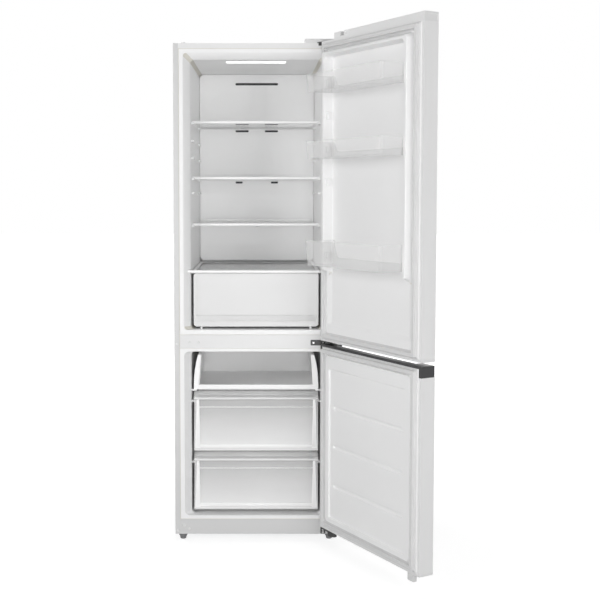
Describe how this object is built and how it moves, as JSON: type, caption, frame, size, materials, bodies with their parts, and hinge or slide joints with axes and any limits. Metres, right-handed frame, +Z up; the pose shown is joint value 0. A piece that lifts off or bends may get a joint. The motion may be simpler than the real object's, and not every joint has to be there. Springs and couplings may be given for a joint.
{
  "type": "bottom freezer refrigerator",
  "caption": "Free-standing fridge with the freezer below: hinged doors with balconies, glass shelves, a crisper and pull-out freezer drawers.",
  "frame": {"origin": "on the floor, under the middle of the cabinet's front flange", "axes": "+X to the hinge side, which is on the right seen from the front; +Y from the front to the back; +Z up"},
  "size_m": [0.8715, 1.1464, 1.85],
  "materials": {
    "white_paint": "satin",
    "white_liner": "satin",
    "white_cap": "satin",
    "insulation": "matte",
    "galvanised_sheet": "satin",
    "grey_panel": "matte",
    "black_grip": "satin",
    "dark_bracket": "satin",
    "zinc": "satin",
    "shelf_glass": "gloss",
    "clear_plastic": "gloss",
    "drawer_front": "gloss",
    "drawer_white": "satin",
    "soft_seal": "matte",
    "black_can": "satin",
    "black_rubber": "matte",
    "copper_pipe": "satin",
    "fins": "satin",
    "grey_plastic": "matte",
    "dark_plastic": "matte",
    "lens": "matte"
  },
  "bodies": {
    "cabinet": {"left_side_panel": "white_paint", "right_side_panel": "white_paint", "top_panel": "white_paint", "back_panel": "galvanised_sheet", "base_pan": "galvanised_sheet", "cabinet_foam": "insulation", "fridge_liner": "white_liner", "freezer_liner": "white_liner", "mullion_cover": "white_cap", "kick_panel": "white_paint", "fridge_air_panel": "white_liner", "freezer_air_panel": "white_liner", "light_lens": "lens", "glass_shelf_upper": "shelf_glass", "glass_shelf_middle": "shelf_glass", "glass_shelf_lower": "shelf_glass", "shelf_trims": "drawer_white", "crisper_cover_frame": "drawer_white", "crisper_cover_glass": "shelf_glass", "evaporator": "fins", "fan_motor": "grey_plastic", "compressor_deck": "galvanised_sheet", "compressor": "black_can", "compressor_grommets": "black_rubber", "refrigerant_pipe": "copper_pipe", "drip_tray": "grey_plastic", "machine_cover": "grey_panel", "top_hinge_bracket": "dark_bracket", "top_hinge_cover": "white_cap", "middle_hinge_bracket": "dark_bracket", "bottom_hinge_bracket": "dark_bracket", "hinge_screws": "zinc", "plug_caps": "white_cap"},
    "upper_door": {"upper_door_skin": "white_paint", "upper_door_foam": "insulation", "upper_door_liner": "white_liner", "upper_door_gasket": "soft_seal", "upper_door_top_cap": "white_cap", "upper_door_bottom_cap": "white_cap"},
    "freezer_door": {"freezer_door_skin": "white_paint", "freezer_door_foam": "insulation", "freezer_door_liner": "white_liner", "freezer_door_gasket": "soft_seal", "freezer_door_grip": "black_grip", "freezer_door_bottom_cap": "white_cap", "freezer_door_rest": "grey_plastic"},
    "balcony_upper": {"balcony_upper": "clear_plastic"},
    "balcony_middle": {"balcony_middle": "clear_plastic"},
    "balcony_bottle": {"balcony_bottle": "clear_plastic"},
    "crisper": {"crisper_drawer": "clear_plastic"},
    "tray": {"freezer_tray": "drawer_white"},
    "middle_drawer": {"freezer_drawer_middle": "drawer_white", "freezer_drawer_middle_front": "drawer_front"},
    "lower_drawer": {"freezer_drawer_lower": "drawer_white", "freezer_drawer_lower_front": "drawer_front"},
    "fan": {"evaporator_fan": "grey_plastic"},
    "foot_left": {"front_foot_left": "grey_plastic"},
    "foot_right": {"front_foot_right": "grey_plastic"},
    "roller_left": {"rear_roller_left": "dark_plastic"},
    "roller_right": {"rear_roller_right": "dark_plastic"}
  },
  "joints": [
    {"name": "upper_door_hinge", "type": "hinge", "parent": "cabinet", "child": "upper_door", "pos_m": [0.2735, -0.0462, 1.303], "axis": [0, 0, 1], "range_deg": [-119, 15]},
    {"name": "freezer_door_hinge", "type": "hinge", "parent": "cabinet", "child": "freezer_door", "pos_m": [0.2735, -0.0462, 0.4035], "axis": [0, 0, 1], "range_deg": [-119, 15]},
    {"name": "balcony_upper_lift", "type": "slide", "parent": "upper_door", "child": "balcony_upper", "axis": [0, 0, 1], "range_m": [0, 0.018]},
    {"name": "balcony_middle_lift", "type": "slide", "parent": "upper_door", "child": "balcony_middle", "axis": [0, 0, 1], "range_m": [0, 0.018]},
    {"name": "balcony_bottle_lift", "type": "slide", "parent": "upper_door", "child": "balcony_bottle", "axis": [0, 0, 1], "range_m": [0, 0.018]},
    {"name": "crisper_slide", "type": "slide", "parent": "cabinet", "child": "crisper", "axis": [0, -1, 0], "range_m": [0, 0.32]},
    {"name": "tray_slide", "type": "slide", "parent": "cabinet", "child": "tray", "axis": [0, -1, 0], "range_m": [0, 0.3]},
    {"name": "middle_drawer_slide", "type": "slide", "parent": "cabinet", "child": "middle_drawer", "axis": [0, -1, 0], "range_m": [0, 0.3]},
    {"name": "lower_drawer_slide", "type": "slide", "parent": "cabinet", "child": "lower_drawer", "axis": [0, -1, 0], "range_m": [0, 0.2]},
    {"name": "fan_spin", "type": "hinge", "parent": "cabinet", "child": "fan", "pos_m": [0, 0.4495, 0.6], "axis": [0, 1, 0], "continuous": true},
    {"name": "foot_left_turn", "type": "hinge", "parent": "cabinet", "child": "foot_left", "pos_m": [-0.273, 0.03, 0.0225], "axis": [0, 0, 1], "continuous": true},
    {"name": "foot_right_turn", "type": "hinge", "parent": "cabinet", "child": "foot_right", "pos_m": [0.273, 0.03, 0.0225], "axis": [0, 0, 1], "continuous": true},
    {"name": "roller_left_turn", "type": "hinge", "parent": "cabinet", "child": "roller_left", "pos_m": [-0.25, 0.548, 0.017], "axis": [1, 0, 0], "continuous": true},
    {"name": "roller_right_turn", "type": "hinge", "parent": "cabinet", "child": "roller_right", "pos_m": [0.25, 0.548, 0.017], "axis": [1, 0, 0], "continuous": true}
  ]
}
